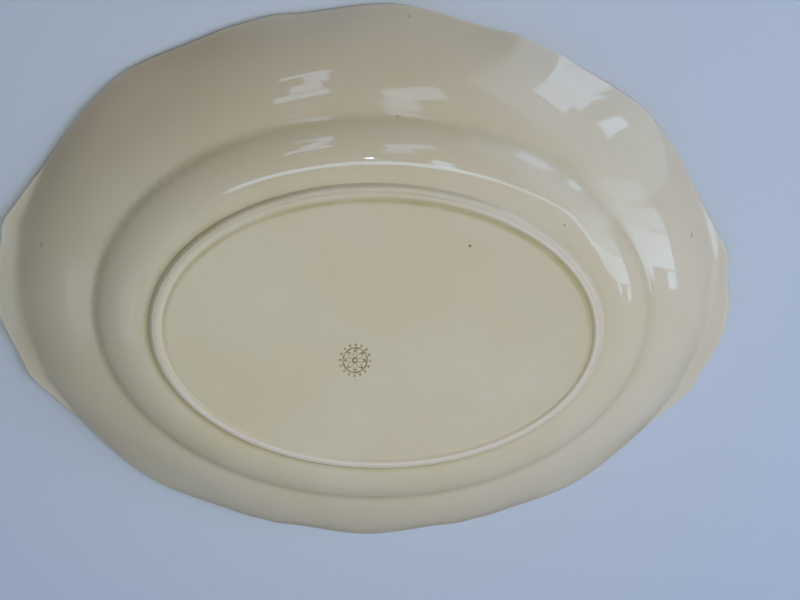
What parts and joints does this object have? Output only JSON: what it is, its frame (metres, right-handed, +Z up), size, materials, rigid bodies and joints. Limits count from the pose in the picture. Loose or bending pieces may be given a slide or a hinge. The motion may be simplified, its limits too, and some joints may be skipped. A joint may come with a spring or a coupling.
{
  "type": "oval serving dish",
  "caption": "Shallow oval serving dish in ivory glazed pottery, with a narrow foot ring, a flat well, a broad convex flange and a scalloped lip that flares out at the ends.",
  "frame": {"origin": "centre of the foot ring on the plane that the dish stands on", "axes": "+X along the length of the dish, +Y across its width, +Z up out of the open well"},
  "size_m": [0.356, 0.273, 0.036],
  "materials": {
    "ivory_glaze": "glossy ivory glaze over fired pottery"
  },
  "bodies": {
    "root": {"well_floor": "ivory_glaze", "foot_ring": "ivory_glaze", "well_wall": "ivory_glaze", "rim_flange": "ivory_glaze", "rim_lip": "ivory_glaze"}
  },
  "joints": []
}
